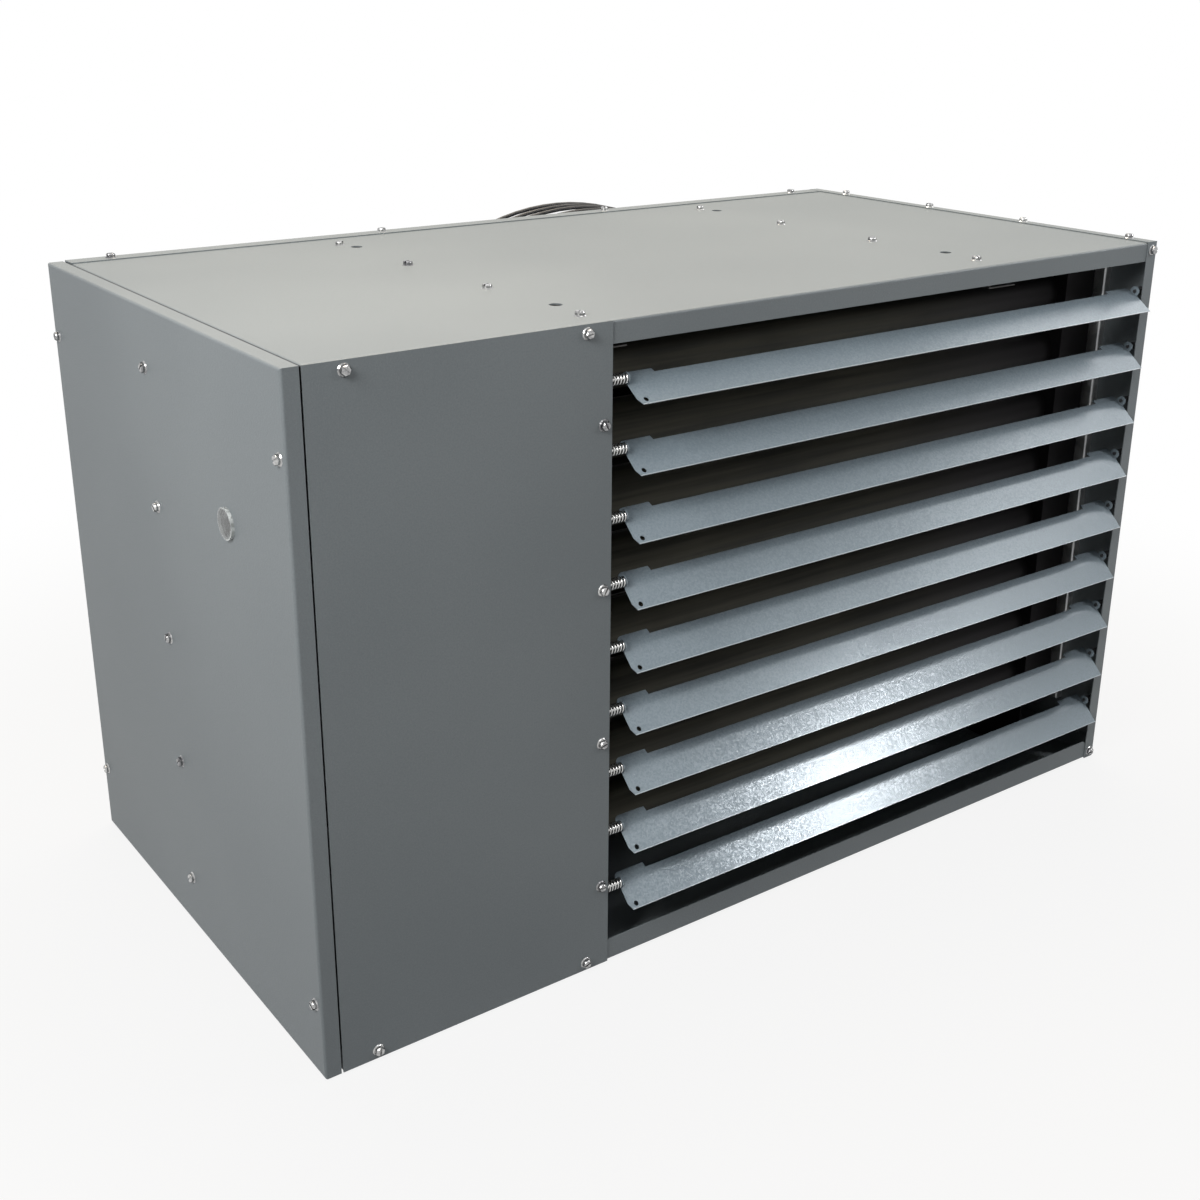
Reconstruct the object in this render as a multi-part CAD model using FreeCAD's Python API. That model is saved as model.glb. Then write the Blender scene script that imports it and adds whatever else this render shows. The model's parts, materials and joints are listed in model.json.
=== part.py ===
import FreeCAD, Part
import math
import os

V = FreeCAD.Vector
X = V(1, 0, 0)
Y = V(0, 1, 0)
Z = V(0, 0, 1)

# Cabinet: outside sizes and the sheet it is folded from
cabinet_width = 1083.0
cabinet_depth = 559.0
cabinet_height = 654.0
sheet = 1.2
inner_bend = 1.3
cap_flange = 16.0
seam = 2.0
side_flange = 17.0
rear_flange = 22.0
rear_return = 25.0
top_drop = 21.0
bottom_lip = 24.0
lip_corner = 6.0
control_width = 313.0
partition_flange = 22.0
post_leg = 14.0
divider_share = 0.4866
divider_flange = 20.0
assembly_gap = 0.4
overrun = 2.0

# Hanging points: rails under the top panel, with holes for hanger rods
hanger_hole_radius = 6.35
hanger_past_partition = 2.0
hanger_from_right = 258.0
hanger_from_edge = 85.5
rail_width = 40.0
rail_height = 24.0

# Louvres: folded blades on pivot pins, pressed to one side by springs
louvre_count = 9
louvre_top_margin = 55.5
louvre_bottom_margin = 80.0
louvre_setback = 8.0
louvre_left_gap = 20.5
louvre_right_gap = 19.5
blade_sheet = 0.9
blade_drop = 30.0
blade_crease = 18.0
blade_leaf = 6.0
ear_leaf = 12.0
ear_length = 38.0
left_ear_corner = 7.0
right_ear_corner = 3.0
blade_bend = 36.0
corner_rise = 7.0
corner_run = 3.5
blade_hole_radius = 2.6
blade_hole_inset = 9.0
pivot_standoff = 2.8
rest_tilts = [55.0, 50.0, 48.0, 45.0, 46.0, 46.0, 46.0, 45.0, 46.0]
pin_radius = 2.0
pin_tip = 1.5
pin_shoulder_radius = 4.5
lug_radius = 5.5
running_fit = 0.05
fixed_fit = 0.1
end_play = 0.3
spring_wire_radius = 0.75
spring_mean_radius = 4.8
spring_turns = 3
wire_sides = 4
spring_end_bend = 1.6
gap_points = 6

# Heat exchanger: straight tubes between the partition and a return header
tube_count = 8
tube_radius = 29.0
tube_wall = 1.2
tube_headroom = 8.0
tube_floor_room = 54.0
tube_front_setback = 100.0
header_from_right = 78.0
header_length = 50.0
header_margin = 12.0
liner_setback = 57.0
liner_stop = 60.0
liner_depth = 10.0
liner_floor_room = 60.0
liner_headroom = 34.0

# Burners and gas train
burner_box_depth = 70.0
burner_box_margin = 18.0
burner_throat_radius = 9.0
burner_mouth_radius = 15.0
burner_throat = 60.0
burner_tail = 75.0
burner_sides = 8
manifold_radius = 13.0
manifold_flat = 11.5
orifice_radius = 5.0
orifice_reach = 16.0
orifice_gap = 9.0
manifold_end = 24.0
valve_width = 64.0
valve_length = 90.0
valve_height = 56.0
valve_boss = 5.0
valve_boss_radius = 21.0
valve_divider_gap = 12.0
valve_edge = 6.0
knob_radius = 15.0
knob_height = 16.0
knob_grip = 5.0
knob_spindle_radius = 5.0
gas_pipe_radius = 10.7
gas_pipe_stand_out = 14.0
coupling_radius = 16.0
coupling_length = 38.0
coupling_thread_radius = 9.3
coupling_thread = 20.0
probe_ceramic_radius = 4.5
probe_ceramic = 38.0
probe_collar_radius = 7.0
probe_collar = 3.0
switch_radius = 9.0
switch_height = 10.0
switch_ear = 16.0
switch_ear_width = 7.0
limit_switch_rows = [2, 4]

# Flue side: collector, draft inducer, vent and air intake
collector_depth = 55.0
collector_half_width = 36.0
inducer_rise_share = 0.6
inducer_from_divider = 83.0
scroll_radius = 58.0
scroll_step = 8.0
scroll_width = 60.0
scroll_wall = 1.5
scroll_outlet = 100.0
scroll_tongue = 18.0
inducer_inlet_radius = 34.0
wheel_radius = 46.0
wheel_width = 38.0
wheel_plate = 2.0
wheel_blades = 10
wheel_blade = 14.0
wheel_shaft_radius = 4.0
wheel_hub_radius = 9.0
inducer_motor_radius = 40.0
inducer_motor_length = 68.0
inducer_motor_neck_radius = 26.0
inducer_motor_neck = 8.0
vent_radius = 63.5
vent_spigot = 60.0
vent_wall = 1.2
vent_facets = 16
collar_flange = 14.0
intake_rise_share = 0.32
bushing_radius = 11.1
bushing_wall = 2.5
bushing_length = 8.2
bushing_rise_share = 0.46
bushing_from_left = 60.0

# Controls on the divider
board_width = 140.0
board_height = 100.0
board_sheet = 1.6
board_from_left = 45.0
board_rise_share = 0.38
board_standoff = 8.0
relay_width = 18.0
relay_depth = 16.0
relay_height = 22.0
relay_step = 30.0
relay_count = 4
core_width = 58.0
core_depth = 26.0
coil_width = 34.0
coil_depth = 46.0
transformer_height = 50.0
transformer_rise_share = 0.58
pressure_switch_radius = 32.0
pressure_switch_depth = 26.0
case_sides = 12
pressure_switch_neck_radius = 12.0
pressure_switch_neck = 10.0
pressure_switch_drop = 90.0
pressure_switch_from_left = 90.0
hose_radius = 3.5
hose_bend = 20.0
hose_sides = 6

# Air mover on the rear panel
guard_margin = 2.0
guard_rim_width = 12.0
guard_rim_height = 3.0
orifice_rim = 27.0
venturi_depth = 44.0
venturi_flange = 16.0
tip_clearance = 7.0
fan_from_rear = 55.0
blade_count = 4
fan_blade_sheet = 1.6
root_chord = 110.0
tip_chord = 190.0
root_pitch = 35.0
tip_pitch = 22.0
blade_camber_share = 0.07
camber_flats = 4
fan_hub_radius = 46.0
fan_hub_length = 40.0
fan_shaft_radius = 8.0
fan_motor_radius = 68.0
fan_motor_length = 95.0
fan_motor_front = 22.0
fan_motor_bell = 16.0
fan_motor_nose_radius = 24.0
mount_plate = 3.0
mount_radius = 88.0
guard_wire_radius = 2.5
guard_bend = 30.0
spoke_count = 12
spoke_inner_radius = 40.0
side_ring_shares = [0.6, 0.8, 1.0]
back_ring_shares = [0.45, 0.72]

# Screws: hex washer heads
screw_washer_radius = 5.2
screw_washer = 0.9
washer_sides = 8
screw_flats = 7.9
screw_head = 3.8
front_screw_inset = 8.5
front_screw_top_places = [36.0, 268.5]
front_screw_low = 90.0
front_screw_high = 93.0
front_screw_rows = 4
access_screw_inset = 11.5
access_screw_margin = 74.5
access_middle_margin = 58.0
access_middle_rows = 5
top_screw_front = 33.0
top_screw_rear = 64.0
top_screw_rows = 4
top_screw_offset = 10.0
rear_screw_margin = 63.0
rear_screw_rows = 4

# Sight glass in the access panel
glass_setback = 127.0
glass_rise_share = 0.755
glass_radius = 14.5
glass_barrel_radius = 11.0
glass_rim = 3.0
glass_barrel = 10.0

# Places worked out from the sizes above
left = -cabinet_width / 2
right = cabinet_width / 2
front = -cabinet_depth / 2
rear = cabinet_depth / 2
core_left = left + cap_flange + seam
core_right = right - sheet - inner_bend
inset_left = left + sheet + inner_bend
partition_x = left + control_width
partition_back = partition_x - sheet
rear_face = rear - sheet
rear_inside = rear_face - sheet
divider_y = rear - cabinet_depth * divider_share
rail_bottom = cabinet_height - sheet - rail_height
louvre_left = partition_x + louvre_left_gap
louvre_right = right - louvre_right_gap
louvre_length = louvre_right - louvre_left
louvre_y = front + louvre_setback
louvre_top = cabinet_height - louvre_top_margin
louvre_pitch = (louvre_top - louvre_bottom_margin) / (louvre_count - 1)
tube_top = rail_bottom - tube_headroom - tube_radius
tube_bottom = bottom_lip + tube_floor_room + tube_radius
tube_pitch = (tube_top - tube_bottom) / (tube_count - 1)
tube_heights = [tube_bottom + tube_pitch * row for row in range(tube_count)]
tube_front_y = front + tube_front_setback
tube_rear_y = divider_y + inducer_from_divider
tube_sheet_x = right - header_from_right
tunnel_width = cabinet_width - control_width
guard_radius = min(tunnel_width, cabinet_height) / 2 - guard_margin
orifice_open = guard_radius - guard_rim_width - orifice_rim
fan_radius = orifice_open - tip_clearance
fan_x = partition_x + tunnel_width / 2
fan_z = cabinet_height / 2
fan_y = rear - fan_from_rear
motor_front_y = rear + fan_motor_front
motor_back_y = motor_front_y + fan_motor_length
guard_back_y = motor_back_y + mount_plate + guard_wire_radius
collector_x = partition_back - collector_depth
scroll_x = collector_x - scroll_width
inducer_y = tube_rear_y
inducer_z = cabinet_height * inducer_rise_share
manifold_x = partition_back - burner_box_depth - burner_tail - orifice_gap - orifice_reach - manifold_flat
valve_size = V(valve_width, valve_length, valve_height)
valve_y = divider_y - valve_divider_gap - valve_length
board_size = V(board_width, board_sheet, board_height)
relay_size = V(relay_width, relay_depth, relay_height)
transformer_core = V(core_width, core_depth, transformer_height)
transformer_coil = V(coil_width, coil_depth, transformer_height)
valve_z = tube_bottom
hanger_x = [partition_x - hanger_past_partition, right - hanger_from_right]
hanger_y = [front + hanger_from_edge, rear - hanger_from_edge]


def span(low, high):
    """Solid block between two corners."""
    return Part.makeBox(high.x - low.x, high.y - low.y, high.z - low.z, low)


def rod(start, way, radius, length):
    return Part.makeCylinder(radius, length, start, way)


def tube(start, way, radius, wall, length):
    return rod(start, way, radius, length).cut(rod(start, way, radius - wall, length))


def facet(points):
    return Part.Face(Part.makePolygon(points + points[:1]))


def spin(points, start, way):
    """Turned piece: points give (distance along the axis, radius) round a closed outline."""
    side = Z if abs(way.z) < abs(way.x) + abs(way.y) else X
    outline = [start + way * along + side * radius for along, radius in points]
    return facet(outline).revolve(start, way, 360)


def folded(points, length):
    """Sheet folded along a line of points, with its thickness inside the bends, run on by length."""
    path = Part.makePolygon(points)
    strips = [path.makeOffset2D(side, 0, True, True, False) for side in (sheet, -sheet)]
    return min(strips, key=lambda strip: strip.Area).extrude(length)


def plate_bend(block, open_way, radius):
    """Rounds the four edges round the plate of a pan, which faces away from its open side."""
    plate = min(block.Faces, key=lambda face: face.CenterOfMass.dot(open_way))
    return block.makeFillet(radius, plate.Edges)


def pan(low, high, open_way):
    """Sheet folded into a shallow pan that is open on one side."""
    rim = V(sheet, sheet, sheet)
    reach = open_way * (sheet + overrun)
    inside_low = low + rim + V(min(reach.x, 0), min(reach.y, 0), min(reach.z, 0))
    inside_high = high - rim + V(max(reach.x, 0), max(reach.y, 0), max(reach.z, 0))
    outer = plate_bend(span(low, high), open_way, inner_bend + sheet)
    inner = plate_bend(span(inside_low, inside_high), open_way, inner_bend)
    return outer.cut(inner)


def drilled(shape, places, way, radius, depth):
    """Cuts round holes that start at the given places."""
    drills = [rod(place - way * overrun, way, radius, depth + overrun * 2) for place in places]
    return shape.cut(drills)


def polygon(centre, way, radius, sides):
    """Corners of a regular outline square to way."""
    side = Z if abs(way.z) < abs(way.x) + abs(way.y) else X
    other = way.cross(side)
    turns = [2 * math.pi * index / sides for index in range(sides)]
    return [centre + side * (radius * math.cos(turn)) + other * (radius * math.sin(turn)) for turn in turns]


def prism(centre, way, radius, sides, length):
    return facet(polygon(centre, way, radius, sides)).extrude(way * length)


def stitched(first, second):
    """Solid of flat facets between two outlines of as many points, each quad parted along its short way."""
    facets = [facet(first), facet(second)]
    for index in range(len(first)):
        a, b, c, d = first[index - 1], first[index], second[index], second[index - 1]
        if a.distanceToPoint(c) < b.distanceToPoint(d):
            facets += [facet([a, b, c]), facet([a, c, d])]
        else:
            facets += [facet([a, b, d]), facet([b, c, d])]
    return Part.Solid(Part.Shell(facets))


def swept(edges, start, way, radius, sides):
    """Wire or hose along joined straight and round edges, with a many-sided section."""
    section = polygon(start, way, radius, sides)
    return Part.Wire(edges).makePipeShell([Part.makePolygon(section + section[:1])], True, False)


def line(a, b):
    return Part.LineSegment(a, b).toShape()


def arc_from(a, way, b):
    """Arc that leaves a along way and ends at b."""
    chord = b - a
    across = chord - way * chord.dot(way)
    across.normalize()
    radius = chord.dot(chord) / (2 * chord.dot(across))
    centre = a + across * radius
    middle = (a - centre) + (b - centre)
    middle.normalize()
    return Part.Arc(a, centre + middle * radius, b).toShape()


def biarc(a, way_a, b, way_b):
    """Two arcs that join a to b smoothly with the given ways at their ends."""
    chord = b - a
    both = way_a + way_b
    spread = 2 * (1 - way_a.dot(way_b))
    reach = chord.dot(both)
    leg = (math.sqrt(reach * reach + spread * chord.dot(chord)) - reach) / spread
    joint = (a + way_a * leg + b - way_b * leg) * 0.5
    joint_way = b - way_b * leg - (a + way_a * leg)
    joint_way.normalize()
    return [arc_from(a, way_a, joint), arc_from(joint, joint_way, b)]


def left_access_panel():
    panel = pan(V(left, front, 0), V(left + cap_flange, rear, cabinet_height), X)
    glass = V(left, front + glass_setback, cabinet_height * glass_rise_share)
    return drilled(panel, [glass], X, glass_barrel_radius + fixed_fit, sheet)


def sight_glass():
    """Clear turned plug: a rim on the outside and a barrel through the panel."""
    start = V(left - glass_rim, front + glass_setback, cabinet_height * glass_rise_share)
    seat = glass_rim
    end = seat + glass_barrel
    return spin([(0, 0), (0, glass_radius), (seat, glass_radius), (seat, glass_barrel_radius),
                 (end, glass_barrel_radius), (end, 0)], start, X)


def front_control_panel():
    low = V(core_left, front, 0)
    return span(low, V(partition_x, front + sheet, cabinet_height))


def top_panel():
    panel = pan(V(core_left, front + sheet, cabinet_height - top_drop),
                V(core_right, rear_inside, cabinet_height), -Z)
    return drilled(panel, hanger_places(), -Z, hanger_hole_radius, sheet)


def hanger_places():
    return [V(x, y, cabinet_height) for x in hanger_x for y in hanger_y]


def bottom_panel():
    """Floor pan; the front lip has a rounded corner where the right panel's flange starts."""
    panel = pan(V(core_left, front + sheet, 0), V(core_right, rear_inside, bottom_lip), Z)
    corner = V(right - side_flange - lip_corner, front, bottom_lip - lip_corner)
    notch = span(corner, V(core_right - sheet, front + sheet * 2 + overrun, bottom_lip + overrun))
    round_end = rod(corner, Y, lip_corner, sheet * 3)
    return panel.cut(notch.cut(round_end))


def right_side_panel():
    panel = pan(V(right - side_flange, front, -sheet * 2), V(right, rear, cabinet_height + sheet), -X)
    skirt = span(V(right - side_flange - overrun, front - overrun, -sheet * 2 - overrun),
                 V(right + overrun, rear + overrun, 0))
    return panel.cut(skirt)


def rear_panel():
    """Back sheet with returns at both sides, a flange over the top panel and its openings."""
    inset = inset_left
    plate_low = V(inset, rear_inside, sheet)
    plate = span(plate_low, V(core_right, rear_face, cabinet_height - sheet))
    returns_low = bottom_lip + assembly_gap
    returns_high = cabinet_height - top_drop - assembly_gap
    rise = V(0, 0, returns_high - returns_low)
    arm = rear_return
    near = folded([V(inset, rear_inside - arm, returns_low), V(inset, rear_face, returns_low),
                   V(inset + arm, rear_face, returns_low)], rise)
    far = folded([V(core_right - arm, rear_face, returns_low), V(core_right, rear_face, returns_low),
                  V(core_right, rear_inside - arm, returns_low)], rise)
    start = core_left
    top_run = V(right - side_flange - seam - start, 0, 0)
    over_top = cabinet_height + sheet
    over = folded([V(start, rear_face, cabinet_height - rear_flange), V(start, rear_face, over_top),
                   V(start, rear - rear_flange, over_top)], top_run)
    panel = plate.fuse([near, far, over]).removeSplitter()
    panel = drilled(panel, [fan_centre(rear_inside)], Y, orifice_open, sheet)
    panel = drilled(panel, [vent_centre(rear_inside), intake_centre(rear_inside)], Y, vent_radius, sheet)
    panel = drilled(panel, [gas_centre(rear_inside)], Y, gas_pipe_radius + fixed_fit, sheet)
    return drilled(panel, [bushing_centre(rear_inside)], Y, bushing_radius + bushing_wall + fixed_fit, sheet)


def fan_centre(y):
    return V(fan_x, y, fan_z)


def vent_centre(y):
    outlet_top = scroll_step + scroll_radius + scroll_step * 2
    return V(scroll_x + scroll_width / 2, y, inducer_z + (outlet_top + scroll_tongue) / 2)


def intake_centre(y):
    return V(vent_centre(y).x, y, cabinet_height * intake_rise_share)


def gas_centre(y):
    return V(manifold_x, y, valve_z)


def bushing_centre(y):
    return V(left + bushing_from_left, y, cabinet_height * bushing_rise_share)


def control_partition():
    """Wall between the control compartment and the air tunnel, with a flange behind the front panel."""
    low = V(partition_back, front + sheet * 2 + inner_bend, sheet)
    wall = span(low, V(partition_x, rear_inside - sheet - inner_bend, rail_bottom))
    flange_low = V(partition_x - partition_flange, front + sheet, bottom_lip)
    rise = V(0, 0, rail_bottom - bottom_lip)
    flange = folded([flange_low, V(partition_x, flange_low.y, flange_low.z),
                     V(partition_x, low.y + sheet, flange_low.z)], rise)
    return wall.fuse(flange).removeSplitter()


def compartment_divider():
    """Wall across the control compartment; the access panel is screwed to its flange."""
    low_z = bottom_lip + assembly_gap
    rise = V(0, 0, rail_bottom - assembly_gap - low_z)
    wall = folded([V(left + sheet, divider_y + divider_flange, low_z), V(left + sheet, divider_y, low_z),
                   V(partition_back, divider_y, low_z)], rise)
    wall = drilled(wall, [gas_centre(divider_y)], Y, gas_pipe_radius + fixed_fit, sheet)
    return drilled(wall, [intake_centre(divider_y)], Y, vent_radius - collar_flange, sheet)


def corner_post():
    low_z = bottom_lip + assembly_gap
    rise = V(0, 0, cabinet_height - top_drop - assembly_gap - low_z)
    corner = V(inset_left, front + sheet, low_z)
    return folded([corner + X * post_leg, corner, corner + Y * (post_leg + access_screw_inset)], rise)


def hanger_rails():
    """Channels under the top panel that take the hanger rods."""
    rails = []
    start_y = front + sheet * 2 + inner_bend
    run = V(0, rear_inside - sheet - inner_bend - start_y, 0)
    for x in hanger_x:
        high = cabinet_height - sheet
        rails.append(folded([V(x + rail_width / 2, start_y, high), V(x - rail_width / 2, start_y, high),
                             V(x - rail_width / 2, start_y, rail_bottom),
                             V(x + rail_width / 2, start_y, rail_bottom)], run))
    rails = [drilled(rail, hanger_places(), -Z, hanger_hole_radius, sheet * 3) for rail in rails]
    return Part.makeCompound(rails)


def pivot_heights():
    return [louvre_top - louvre_pitch * row for row in range(louvre_count)]


def blade_strip(leaf, start, length):
    """Bent strip: the lower leaf hangs from a soft bend and the upper leaf leans back."""
    turn = math.radians(blade_crease)
    lean = V(0, math.sin(turn), math.cos(turn))
    back = V(0, lean.z, -lean.y)
    crease = V(start, pivot_standoff, 0)
    bend_reach = blade_bend * math.tan(turn / 2)
    outer = [crease - Z * blade_drop, crease - Z * bend_reach]
    outer += [crease + lean * bend_reach, crease + lean * leaf]
    ways = [Y, Y, back, back]
    inner = [point + way * blade_sheet for point, way in zip(outer, ways)]
    outline = [line(outer[0], outer[1]), arc_from(outer[1], Z, outer[2]), line(outer[2], outer[3]),
               line(outer[3], inner[3]), line(inner[3], inner[2]), arc_from(inner[2], -lean, inner[1]),
               line(inner[1], inner[0]), line(inner[0], outer[0])]
    return Part.Face(Part.Wire(outline)).extrude(X * length)


def ear(start, outer_side, corner):
    """Wider stretch of the upper leaf at a blade's end, with its outer corner rounded."""
    strip = blade_strip(ear_leaf, start, ear_length)
    rim = [edge for edge in strip.Edges
           if edge.CenterOfMass.z > blade_leaf and abs(edge.CenterOfMass.x - outer_side) < blade_sheet
           and edge.Length < blade_sheet * 2]
    return strip.makeFillet(corner, rim)


def louvre(tilt, height):
    """Blade with its ears, round pivot lugs, cut corner and hole, turned to the angle it is set to."""
    blade = blade_strip(blade_leaf, louvre_left, louvre_length)
    near_ear = ear(louvre_left, louvre_left, left_ear_corner)
    far_ear = ear(louvre_right - ear_length, louvre_right, right_ear_corner)
    root = V(blade_sheet, pivot_standoff + blade_sheet / 2, lug_radius)
    lugs = []
    for x in (louvre_left, louvre_right - blade_sheet):
        lugs.append(rod(V(x, 0, 0), X, lug_radius, blade_sheet))
        lugs.append(span(V(x, 0, -lug_radius), V(x, 0, 0) + root))
    blade = blade.fuse([near_ear, far_ear] + lugs).removeSplitter()
    foot = V(louvre_left, 0, -blade_drop)
    outside = foot - X * overrun - Z * overrun
    below = foot + V(corner_run * (1 + overrun / corner_rise), 0, -overrun)
    beside = foot + V(-overrun, 0, corner_rise * (1 + overrun / corner_run))
    corner = facet([outside, below, beside])
    blade = blade.cut(corner.extrude(Y * (pivot_standoff + blade_sheet + overrun)))
    hole = foot + X * blade_hole_inset + Z * (blade_hole_radius * 2)
    blade = blade.cut(rod(hole, Y, blade_hole_radius, pivot_standoff + blade_sheet + overrun))
    for x in (louvre_left, louvre_right - blade_sheet):
        blade = drilled(blade, [V(x, 0, 0)], X, pin_radius + running_fit, blade_sheet)
    blade.rotate(V(0, 0, 0), X, -tilt)
    blade.translate(V(0, louvre_y, height))
    return blade


def left_pivot_pins():
    """Studs welded to the partition; the springs and the blades' left lugs sit on them."""
    reach = louvre_left + blade_sheet + pin_tip - partition_x
    return Part.makeCompound([rod(V(partition_x, louvre_y, height), X, pin_radius, reach)
                              for height in pivot_heights()])


def right_pivot_pins():
    """Hexagon studs on the right panel whose round tips carry the blades' right lugs."""
    pins = []
    for height in pivot_heights():
        start = V(right - sheet, louvre_y, height)
        shoulder = start.x - louvre_right - end_play
        stud = prism(start, -X, pin_shoulder_radius, 6, shoulder)
        tip = rod(start - X * shoulder, -X, pin_radius, end_play + blade_sheet + pin_tip)
        pins.append(stud.fuse(tip))
    return Part.makeCompound(pins)


def helix_point(height, start, pitch, quarter):
    turn = quarter * math.pi / 2
    return V(start + pitch * quarter / 4, louvre_y + spring_mean_radius * math.cos(turn),
             height + spring_mean_radius * math.sin(turn))


def helix_way(pitch, quarter):
    turn = quarter * math.pi / 2
    way = V(pitch / (2 * math.pi * spring_mean_radius), -math.sin(turn), math.cos(turn))
    way.normalize()
    return way


def spring(height):
    """Compression spring as one round wire whose ends turn square to what they press on."""
    stub = spring_wire_radius * 2
    first = partition_x + stub + spring_end_bend
    last = louvre_left - end_play - stub - spring_end_bend
    pitch = (last - first) / spring_turns
    quarters = spring_turns * 4
    bend = spring_end_bend
    lead_in = helix_point(height, first, pitch, 0) - (helix_way(pitch, 0) + X) * bend
    lead_out = helix_point(height, first, pitch, quarters) + (helix_way(pitch, quarters) + X) * bend
    foot = V(partition_x, lead_in.y, lead_in.z)
    tip = V(louvre_left - end_play, lead_out.y, lead_out.z)
    edges = [line(foot, lead_in)]
    edges += biarc(lead_in, X, helix_point(height, first, pitch, 0), helix_way(pitch, 0))
    for quarter in range(0, quarters, 2):
        edges += biarc(helix_point(height, first, pitch, quarter), helix_way(pitch, quarter),
                       helix_point(height, first, pitch, quarter + 2), helix_way(pitch, quarter + 2))
    edges += biarc(helix_point(height, first, pitch, quarters), helix_way(pitch, quarters), lead_out, X)
    edges.append(line(lead_out, tip))
    return edges, foot


def least_gap(edges):
    """Least distance between the wire's surface and itself, over points along its centre line."""
    points = []
    travel = 0.0
    for edge in edges:
        for point in edge.discretize(gap_points)[:-1]:
            if points:
                travel += (point - points[-1][0]).Length
            points.append((point, travel))
    apart = math.pi * spring_mean_radius
    gaps = [(a - b).Length for a, at in points for b, bt in points if bt - at > apart]
    return min(gaps) - spring_wire_radius * 2


def louvre_springs():
    springs = []
    for height in pivot_heights():
        edges, foot = spring(height)
        springs.append(swept(edges, foot, X, spring_wire_radius, wire_sides))
    print("least gap of a spring to itself", round(least_gap(edges), 2))
    return Part.makeCompound(springs)


def tube_row(y):
    """Straight tubes, closed in by the partition and the tube sheet that they are welded to."""
    length = tube_sheet_x - partition_x
    return Part.makeCompound([tube(V(partition_x, y, z), X, tube_radius, tube_wall, length)
                              for z in tube_heights])


def header_low_y():
    return tube_front_y - tube_radius - header_margin


def header_high_y():
    return tube_rear_y + tube_radius + header_margin


def tube_sheet():
    """Plate that stands on the floor pan and holds the far ends of the tubes."""
    return span(V(tube_sheet_x, header_low_y(), sheet),
                V(tube_sheet_x + sheet, header_high_y(), cabinet_height - sheet))


def return_header():
    """Pan on the tube sheet that turns the flue gas back into the rear tubes."""
    low = V(tube_sheet_x + sheet, header_low_y(), tube_bottom - tube_radius - header_margin)
    return pan(low, V(low.x + header_length, header_high_y(), tube_top + tube_radius + tube_headroom / 2), -X)


def right_air_liner():
    low = V(right - sheet - liner_depth, front + liner_setback, liner_floor_room)
    return pan(low, V(right - sheet, rear_inside - liner_stop, cabinet_height - liner_headroom), X)


def burner_box():
    """Pan on the partition that holds the burners in line with their tubes."""
    half = tube_radius + burner_box_margin
    low = V(partition_back - burner_box_depth, tube_front_y - half, tube_bottom - half)
    return pan(low, V(partition_back, tube_front_y + half, tube_top + tube_radius + sheet * 2), X)


def probe_places(x):
    """Between the two lowest and the two highest burners."""
    heights = (tube_bottom + tube_pitch / 2, tube_top - tube_pitch / 2)
    return [V(x, tube_front_y, z) for z in heights]


def burners():
    """In-shot burner tails: a flared mouth towards its spud and a throat welded to the box."""
    made = []
    for z in tube_heights:
        start = V(burner_box_face() - burner_tail, tube_front_y, z)
        neck = start + X * (burner_tail - burner_throat)
        mouth = stitched(polygon(start, X, burner_mouth_radius, burner_sides),
                         polygon(neck, X, burner_throat_radius, burner_sides))
        throat = prism(neck, X, burner_throat_radius, burner_sides, burner_throat)
        made.append(mouth.fuse(throat).removeSplitter())
    return Part.makeCompound(made)


def gas_manifold():
    """Upright pipe with a branch to the gas valve."""
    low = V(manifold_x, tube_front_y, tube_bottom - manifold_end)
    rise = tube_top - tube_bottom + manifold_end * 2
    pipe = rod(low, Z, manifold_radius, rise)
    pipe = pipe.cut(span(low + V(manifold_flat, -manifold_radius, -overrun),
                         low + V(manifold_radius, manifold_radius, rise + overrun)))
    branch = rod(V(manifold_x, tube_front_y, valve_z), Y, gas_pipe_radius, valve_y - tube_front_y)
    return pipe.fuse(branch).removeSplitter()


def gas_orifices():
    """Hexagon spuds screwed into the flat of the manifold, one for each burner."""
    seat = manifold_x + manifold_flat
    return Part.makeCompound([prism(V(seat, tube_front_y, z), X, orifice_radius, 6, orifice_reach)
                              for z in tube_heights])


def gas_valve():
    """Cast valve body with hexagon bosses for the pipes and a spindle for its knob."""
    low = V(manifold_x - valve_size.x / 2, valve_y + valve_boss, valve_z - valve_size.z / 2)
    high = V(low.x + valve_size.x, valve_y + valve_size.y - valve_boss, low.z + valve_size.z)
    body = span(low, high)
    long_edges = [edge for edge in body.Edges if edge.tangentAt(0).cross(Y).Length < fixed_fit]
    body = body.makeChamfer(valve_edge, long_edges)
    bosses = prism(gas_centre(valve_y), Y, valve_boss_radius, 6, valve_size.y)
    spindle_end = V(low.x - knob_height, valve_y + valve_size.y / 2, valve_z)
    spindle = rod(spindle_end, X, knob_spindle_radius, knob_height + valve_edge)
    return body.fuse([bosses, spindle]).removeSplitter()


def gas_valve_knob():
    """Round knob with a finger grip, turned a quarter turn between off and on."""
    start = V(manifold_x - valve_size.x / 2 - end_play, valve_y + valve_size.y / 2, valve_z)
    skirt = knob_height / 2
    knob = prism(start, -X, knob_radius, case_sides, skirt)
    grip = span(start + V(-knob_height - knob_grip, -knob_grip / 2, -knob_radius + knob_grip / 2),
                start + V(-skirt, knob_grip / 2, knob_radius - knob_grip / 2))
    knob = knob.fuse(grip).removeSplitter()
    return knob.cut(rod(start, -X, knob_spindle_radius + running_fit, knob_height))


def gas_inlet_pipe():
    start = gas_centre(valve_y + valve_size.y)
    return rod(start, Y, gas_pipe_radius, rear_face + gas_pipe_stand_out - start.y)


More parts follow.
